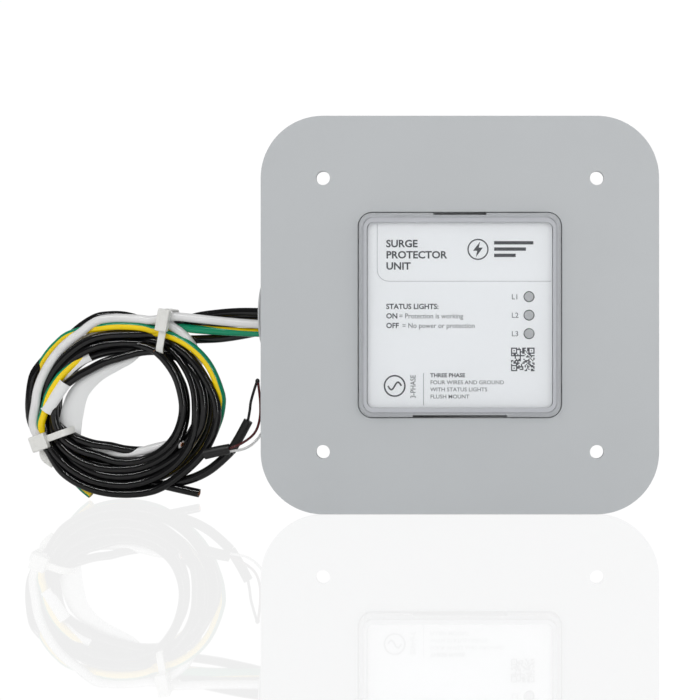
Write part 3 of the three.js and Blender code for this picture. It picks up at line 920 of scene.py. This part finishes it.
heading = {"x": -37.6, "top": 34.6, "pitch": 5.7, "cap": 3.7, "words": ["SURGE", "PROTECTOR", "UNIT"]}
for row, words in enumerate(heading["words"]):
    z = heading["top"] - row * heading["pitch"]
    printWords("darkInk", words, heading["x"], z, heading["cap"], 0.14, stretch=1.04)

legend = {
    "cap": 2.65, "bold": 0.1, "words": [(3.1, "STATUS LIGHTS:"), (-1.7, "ON"), (-6.6, "OFF")], "x": -37.56,
    "meanings": [(-31.0, -1.7, "= Protection is working"), (-29.4, -6.6, "= No power or protection")],
    "meaningCap": 2.6,
}
for z, words in legend["words"]:
    printWords("darkInk", words, legend["x"], z, legend["cap"], legend["bold"])
for x, z, words in legend["meanings"]:
    printWords("greyInk", words, x, z, legend["meaningCap"], 0.02, stretch=0.94)
for phase, z in zip(("L1", "L2", "L3"), lights["places"]):
    printWords("greyInk", phase, lights["nameX"], z - lights["nameDrop"], lights["nameCap"], 0.02)

# plain mark of a bolt in a disc with three bars beside it
mark = {"x": 9.2, "z": 33.4, "radius": 5.05, "line": 0.7, "barsFrom": 17.4, "bar": 1.7,
        "bars": [(37.4, 37.6), (33.6, 34.4), (28.4, 31.2)]}
ring = circle(mark["x"], mark["z"], mark["radius"], 48)
printStrip("darkInk", ring + [ring[0]], mark["line"])
bolt = [(1.1, 4.0), (-2.5, -0.7), (-0.4, -0.7), (-1.1, -4.0), (2.5, 0.9), (0.4, 0.9)]
printShape("darkInk", [(mark["x"] + x, mark["z"] + z) for x, z in bolt])
for end, top in mark["bars"]:
    foot = top - mark["bar"]
    printShape("darkInk", [(mark["barsFrom"], foot), (end, foot), (end, top), (mark["barsFrom"], top)])

# plain symbol of a wave in a ring, with the supply beside it
symbol = {"x": -33.2, "z": -36.1, "radius": 5.2, "line": 0.8, "wave": 3.4, "height": 1.9, "waveLine": 0.85}
ring = circle(symbol["x"], symbol["z"], symbol["radius"], 48)
printStrip("darkInk", ring + [ring[0]], symbol["line"])
wave = []
for i in range(25):
    t = i / 12 - 1
    wave.append((symbol["x"] + symbol["wave"] * t, symbol["z"] + symbol["height"] * sin(pi * t)))
printStrip("darkInk", wave, symbol["waveLine"])
printWords("greyInk", "3-PHASE", -22.6, -42.4, 2.7, 0.04, turned=True, stretch=0.86)
printShape("paleInk", [(-18.65, -46), (-18.35, -46), (-18.35, -29.5), (-18.65, -29.5)])
notes = {"x": -15.1, "top": -31.6, "pitch": 3.62, "cap": 2.0,
         "words": ["THREE PHASE", "FOUR WIRES AND GROUND", "WITH STATUS LIGHTS", "FLUSH MOUNT"]}
for row, words in enumerate(notes["words"]):
    bold = 0.09 if row == 0 else 0.02
    printWords("darkInk" if row == 0 else "greyInk", words, notes["x"], notes["top"] - row * notes["pitch"],
               notes["cap"], bold, stretch=1.05)

# random dots in a square, with plain corner squares
dots = {"left": 26, "low": -28.6, "side": 12, "count": 19, "seed": 5, "corner": 5}
random.seed(dots["seed"])
cell = dots["side"] / dots["count"]


def cornerDot(column, row):
    far = dots["count"] - dots["corner"]
    inLow = row < dots["corner"] and column < dots["corner"]
    inTop = row >= far and (column < dots["corner"] or column >= far)
    if not (inLow or inTop):
        return None
    a = column % far if column >= far else column
    b = row % far if row >= far else row
    edge = dots["corner"] - 1
    return a in (0, edge) or b in (0, edge) or (a == 2 and b == 2)


for row in range(dots["count"]):
    start = None
    for column in range(dots["count"] + 1):
        fixed = cornerDot(column, row) if column < dots["count"] else False
        filled = fixed if fixed is not None else random.random() < 0.5
        if filled and start is None:
            start = column
        if not filled and start is not None:
            x0 = dots["left"] + start * cell
            x1 = dots["left"] + column * cell
            z0 = dots["low"] + row * cell
            printShape("darkInk", [(x0, z0), (x1, z0), (x1, z0 + cell), (x0, z0 + cell)])
            start = None

for ink, shapes in inkLayers.items():
    layer = joinPieces(*shapes)
    layer.name = f"print_{ink}"
    finishPiece(layer, "card_print", finishName=ink)
print("stage: card")


# a bowed strip between two edges of (x, z) points

sheetGrid = {"columns": 6, "rows": 36, "step": 0.5, "belly": 1.4}


def sheetFrom(name, vertices, rows, columns, thick):
    faces = []
    for i in range(rows):
        for j in range(columns):
            a = i * (columns + 1) + j
            faces.append((a, a + 1, a + columns + 2, a + columns + 1))
    piece = newMesh(name, vertices, faces)
    faceOutwards(piece)
    modify(piece, "SOLIDIFY", thickness=thick * mm, offset=0)
    smoothByAngle(piece, 60)
    return piece


def stripSheet(name, lowerEdge, upperEdge, y, bow, thick):
    step = sheetGrid["step"] * mm
    lower = smoothLine([(x * mm, 0, z * mm) for x, z in lowerEdge], step)
    upper = smoothLine([(x * mm, 0, z * mm) for x, z in upperEdge], step)
    rows = sheetGrid["rows"]
    columns = sheetGrid["columns"]
    vertices = []
    for i in range(rows + 1):
        t = i / rows
        a = upper[round(t * (len(upper) - 1))]
        b = lower[round(t * (len(lower) - 1))]
        for j in range(columns + 1):
            spot = a.lerp(b, j / columns)
            belly = sheetGrid["belly"] * sin(pi * t)
            spot.y = (y - bow * sin(pi * j / columns) - belly) * mm
            vertices.append(spot)
    return sheetFrom(name, vertices, rows, columns, thick)


# ties: a strap round the bundle, a ridged head on its front, and a cut tail

def strapLoop(name, outer, inner, corner):
    front = tieSetup["front"]
    along = (Vector((inner[0], 0, inner[1])) - Vector((outer[0], 0, outer[1]))) * mm
    length = along.length
    along.normalize()
    across = along.cross(Vector((0, 1, 0)))
    depth = (tieSetup["back"] - front) * mm
    middle = Vector((outer[0], front, outer[1])) * mm + along * length / 2 + Vector((0, depth / 2, 0))
    path = []
    for quarter, (su, sv) in enumerate(corners):
        for i in range(7):
            turn = pi / 2 * (quarter + i / 6)
            u = su * (length / 2 - corner * mm) + corner * mm * cos(turn)
            v = sv * (depth / 2 - corner * mm) + corner * mm * sin(turn)
            path.append((u, v, Vector((cos(turn), sin(turn)))))
    vertices = []
    half = tieSetup["width"] / 2 * mm
    for u, v, normal in path:
        for layer in (0, tieSetup["thick"] * mm):
            for side in (-half, half):
                spot = middle + along * (u + normal.x * layer) + Vector((0, v + normal.y * layer, 0))
                vertices.append(spot + across * side)
    faces = []
    count = len(path)
    for i in range(count):
        a = 4 * i
        b = 4 * ((i + 1) % count)
        faces += [(a, b, b + 1, a + 1), (a + 2, a + 3, b + 3, b + 2)]
        faces += [(a, a + 2, b + 2, b), (a + 1, b + 1, b + 3, a + 3)]
    piece = newMesh(name, vertices, faces)
    faceOutwards(piece)
    bevelEdges(piece, 0.25, 2, 50)
    return piece, along, across


def tieHead(centre, along, across, length, width):
    deselectAll()
    bpy.ops.mesh.primitive_cube_add(size=1)
    head = bpy.context.object
    head.scale = (length * mm, width * mm, tieSetup["headDepth"] * mm)
    bpy.ops.object.transform_apply()
    enterEdit()
    bpy.ops.mesh.subdivide(number_cuts=tieSetup["ridges"])
    bpy.ops.mesh.select_all(action="DESELECT")
    setMode("OBJECT")
    acrossShare, alongShare = tieSetup["ridgeShares"]
    for face in head.data.polygons:
        x, y, _ = face.center
        inside = abs(y) < width * mm * acrossShare and abs(x) < length * mm * alongShare
        face.select = face.normal.z > 0.9 and inside
    setMode("EDIT")
    bpy.ops.mesh.select_mode(type="FACE")
    bpy.ops.mesh.inset(thickness=tieSetup["groove"] * mm, depth=-tieSetup["grooveDepth"] * mm)
    setMode("OBJECT")
    head.data.transform(Matrix((
        (along.x, across.x, 0, centre[0] * mm), (along.y, across.y, -1, centre[1] * mm),
        (along.z, across.z, 0, centre[2] * mm), (0, 0, 0, 1),
    )))
    faceOutwards(head)
    bevelEdges(head, 0.7, 3, 50)
    return head


ties = {
    "tie_top": {
        "outer": (-159.8, 2.2), "inner": (-163.9, -20.6), "corner": 4,
        "head": (-161.1, 31.4, -2.8), "headLength": 12.2, "headWidth": 6.4,
    },
    "tie_side": {
        "outer": (-235.2, -71.2), "inner": (-213.2, -63.2), "corner": 7,
        "head": (-228.2, 31.4, -69.2), "headLength": 8.8, "headWidth": 8.6,
    },
}
sideTail = {
    "lowerEdge": [(-231.4, -73.5), (-229.6, -79.2), (-224.6, -83.8)],
    "upperEdge": [(-226.8, -73), (-225.6, -77.2), (-221.4, -81)], "y": 39.6, "bow": 0.2,
}
tieSetup = {
    "front": 33.6, "back": 53.8, "width": 3.8, "thick": 1.1, "headDepth": 4.6, "ridges": 5,
    "ridgeShares": (0.3, 0.32), "groove": 0.6, "grooveDepth": 0.25,
}
tiePieces = {}
for name, tie in ties.items():
    strap, along, across = strapLoop(f"{name}_band", tie["outer"], tie["inner"], tie["corner"])
    head = tieHead(tie["head"], along, across, tie["headLength"], tie["headWidth"])
    extra = [stripSheet("tie_tail", **sideTail, thick=tieSetup["thick"])] if name == "tie_side" else []
    joinPieces(strap, head, *extra)
    finishPiece(strap, "nylon")
    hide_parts(name)
    tiePieces[name] = strap
print("stage: ties")


# labels: a long folded flag and a sleeve wrapped on one strand

flag = {
    "lowerEdge": [
        (-176.6, -22.5), (-180.8, -26.4), (-187.8, -30.4), (-196.6, -35.6), (-202.8, -41.8), (-205.4, -46.2),
        (-207.2, -53.2), (-208.5, -60.2), (-209.4, -67.2),
    ],
    "upperEdge": [
        (-177.3, -21.2), (-189.6, -24.8), (-200.2, -29.6), (-207.2, -33.6), (-213.3, -39.1), (-216.8, -44.4),
        (-219.4, -51.4), (-221, -58.5), (-221.2, -62),
    ],
    "y": 41.6, "bow": 1.0, "thick": 0.28,
}
flagStrip = {
    "lowerEdge": [(-217.8, -38.0), (-212, -31.4), (-206.8, -27.4), (-202.2, -25.0)],
    "upperEdge": [(-220.6, -35.4), (-215, -28.6), (-209, -24.0), (-204.2, -21.4)],
    "y": 39.2, "bow": 0.5, "thick": 0.28,
}
flagPiece = stripSheet("flag_strip", **flag)
joinPieces(flagPiece, stripSheet("flag_back", **flagStrip))
finishPiece(flagPiece, "label_vinyl")
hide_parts("flag_label")

sleeve = {
    "centre": (-221.2, 36.6, -45), "width": 6.6, "length": 19, "turn": 34, "arch": 2.2, "thick": 0.25,
    "columns": 10, "rows": 12, "wrap": 150,
}


def sleeveLabel():
    vertices = []
    rows = sleeve["rows"]
    columns = sleeve["columns"]
    wrap = radians(sleeve["wrap"])
    turn = Matrix.Rotation(radians(sleeve["turn"]), 4, "Y")
    for i in range(rows + 1):
        v = (i / rows - 0.5) * sleeve["length"]
        for j in range(columns + 1):
            angle = (j / columns - 0.5) * wrap
            u = sin(angle) / sin(wrap / 2) * sleeve["width"] / 2
            y = -cos(angle) * sleeve["arch"]
            spot = turn @ Vector((u, y, v))
            vertices.append((spot + Vector(sleeve["centre"])) * mm)
    return sheetFrom("sleeve_wrap", vertices, rows, columns, sleeve["thick"])


sleevePiece = sleeveLabel()
finishPiece(sleevePiece, "label_vinyl")
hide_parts("sleeve_label")
print("stage: labels")


# alarm end: two shrink sleeves, three thin wires and the joint of two of them

alarmEnd = {
    "wire_sleeve_1": ("shrink_tube", 2.9, [(-138.5, 31.8, -75.6), (-131, 31.4, -73.8), (-125, 31.5, -72.7)]),
    "wire_sleeve_2": ("shrink_tube", 2.6, [(-125.6, 37.6, -74.8), (-120.6, 38, -66.4), (-116.1, 38, -58)]),
    "alarm_wire_black": ("black_insulation", 0.75, [
        (-116.4, 38, -58.4), (-115.3, 37.8, -52.5), (-114.6, 37.4, -47.6), (-112.6, 36.5, -41),
        (-111.2, 36, -37.0),
    ]),
    "alarm_wire_red": ("red_insulation", 0.7, [
        (-125.4, 31.5, -72.6), (-118, 31.5, -69.4), (-111.6, 32, -64.2), (-109, 33, -57), (-108.8, 34, -48),
        (-110.2, 35.6, -37.2),
    ]),
    "alarm_wire_white": ("white_insulation", 0.7, [
        (-125.4, 31.5, -74.2), (-116.5, 32, -72.4), (-110.5, 34, -67.8), (-106, 38, -60),
    ]),
}
alarmJoint = {"radius": 1.25, "stretch": 1.3, "place": (-110.7, 36, -36.3)}
alarmPieces = []
for name, (slotName, radius, points) in alarmEnd.items():
    line = smoothLine([Vector(p) * mm for p in points], 1.2 * mm)
    piece = tubeAlong(f"{name}_tube", line, radius * mm, 14)
    finishPiece(piece, slotName)
    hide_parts(name)
    alarmPieces.append(piece)
deselectAll()
bpy.ops.mesh.primitive_uv_sphere_add(segments=16, ring_count=10, radius=alarmJoint["radius"] * mm)
knob = newest("alarm_joint")
knob.scale = (1, 1, alarmJoint["stretch"])
knob.location = [value * mm for value in alarmJoint["place"]]
bpy.ops.object.transform_apply()
smoothByAngle(knob, 60)
finishPiece(knob, "shrink_tube")
alarmPieces.append(knob)
print("stage: alarm end")


# finishes on the parts that keep their own shape

keptSlots = {row["node"]: row["material_slot"] for row in frame["record"]["subparts"]}
for nodeName, slotName in keptSlots.items():
    source = nodes[nodeName]
    source.data.materials.clear()
    source.data.materials.append(finishes[slotName])

# what is on each cord, gathered in a table

extras = {
    "neutral": coreEnds["neutral"] + [tiePieces["tie_top"]],
    "ground": [tiePieces["tie_side"]],
    "l1": coreEnds["l1"] + [flagPiece, sleevePiece],
    "l2": [],
    "l3": coreEnds["l3"],
    "alarm": alarmPieces,
}
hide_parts("lead_coil", "lead_l3_tail")
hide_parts("alarm_cable_tail")
for name, (piece, line) in cords.items():
    round(lineLength(line), 4)

# floor, light and background

floorSetup = {"y": 2.2, "z": -0.1018, "size": 6, "shine": 0.16, "glow": 1.02, "polish": 0.02}
deselectAll()
bpy.ops.mesh.primitive_plane_add(size=floorSetup["size"], location=(0, floorSetup["y"], floorSetup["z"]))
floor = newest("floor")
floorFinish = Finish("paleFloor", Base_Color=(0.9, 0.9, 0.9, 1), Roughness=0.9)
seen = floorFinish.node("ShaderNodeLightPath", output="Is Camera Ray")
glow = floorFinish.node("ShaderNodeEmission", {}, {"Color": (1, 1, 1, 1), "Strength": floorSetup["glow"]})
matte = Value(floorFinish, floorFinish.shader.outputs[0])
polish = {"Color": (1, 1, 1, 1), "Roughness": floorSetup["polish"]}
gloss = floorFinish.node("ShaderNodeBsdfGlossy", {}, polish)
floorFinish.surface(floorFinish.blend(seen, matte, floorFinish.blend(floorSetup["shine"], glow, gloss)))
floor.data.materials.append(floorFinish.material)

world = bpy.data.worlds.new("studio")
bpy.context.scene.world = world
world.use_nodes = True
backdrop = world.node_tree.nodes["Background"]
backdrop.inputs["Color"].default_value = (1, 1, 1, 1)
levels = {"seen": 1.02, "ambient": 0.61, "reflected": 0.12, "behind": 1.02, "from": 0.82, "height": 0.42}
studio = Shading(world.node_tree)
isCamera = studio.node("ShaderNodeLightPath", output="Is Camera Ray")
isGlossy = studio.node("ShaderNodeLightPath", output="Is Glossy Ray")
_, depth, height = studio.split(studio.node("ShaderNodeTexCoord", output="Generated"))
isBehind = (depth > levels["from"]) * (height.apply("ABSOLUTE") < levels["height"])
glossy = isBehind * (levels["behind"] - levels["reflected"]) + (levels["reflected"] - levels["ambient"])
strength = isCamera * (levels["seen"] - levels["ambient"]) + isGlossy * glossy + levels["ambient"]
studio.feed(backdrop.inputs["Strength"], strength)

softboxes = {
    "key": {"place": (-0.5, -1.4, 0.45), "size": (1.2, 1.2), "power": 6, "gloss": False},
    "fill": {"place": (1.1, -1.2, 0.5), "size": (1.1, 1.1), "power": 4, "gloss": False},
    "topStrip": {"place": (-0.3, -0.75, 0.8), "size": (1.2, 0.03), "power": 7, "gloss": True},
    "sideStrip": {"place": (0.5, -0.8, 0.0), "size": (0.03, 1.0), "power": 4, "gloss": True},
}
for name, box in softboxes.items():
    deselectAll()
    place = Vector(box["place"])
    aim = Vector((-0.05, 0, 0)) - place
    bpy.ops.object.light_add(type="AREA", location=place, rotation=aim.to_track_quat("-Z", "Y").to_euler())
    light = newest(name)
    light.data.shape = "RECTANGLE"
    light.data.size = box["size"][0]
    light.data.size_y = box["size"][1]
    light.data.energy = box["power"]
    light.visible_glossy = box["gloss"]
    light.visible_diffuse = not box["gloss"]
bpy.context.scene.view_settings.view_transform = "Standard"
print("stage: studio")
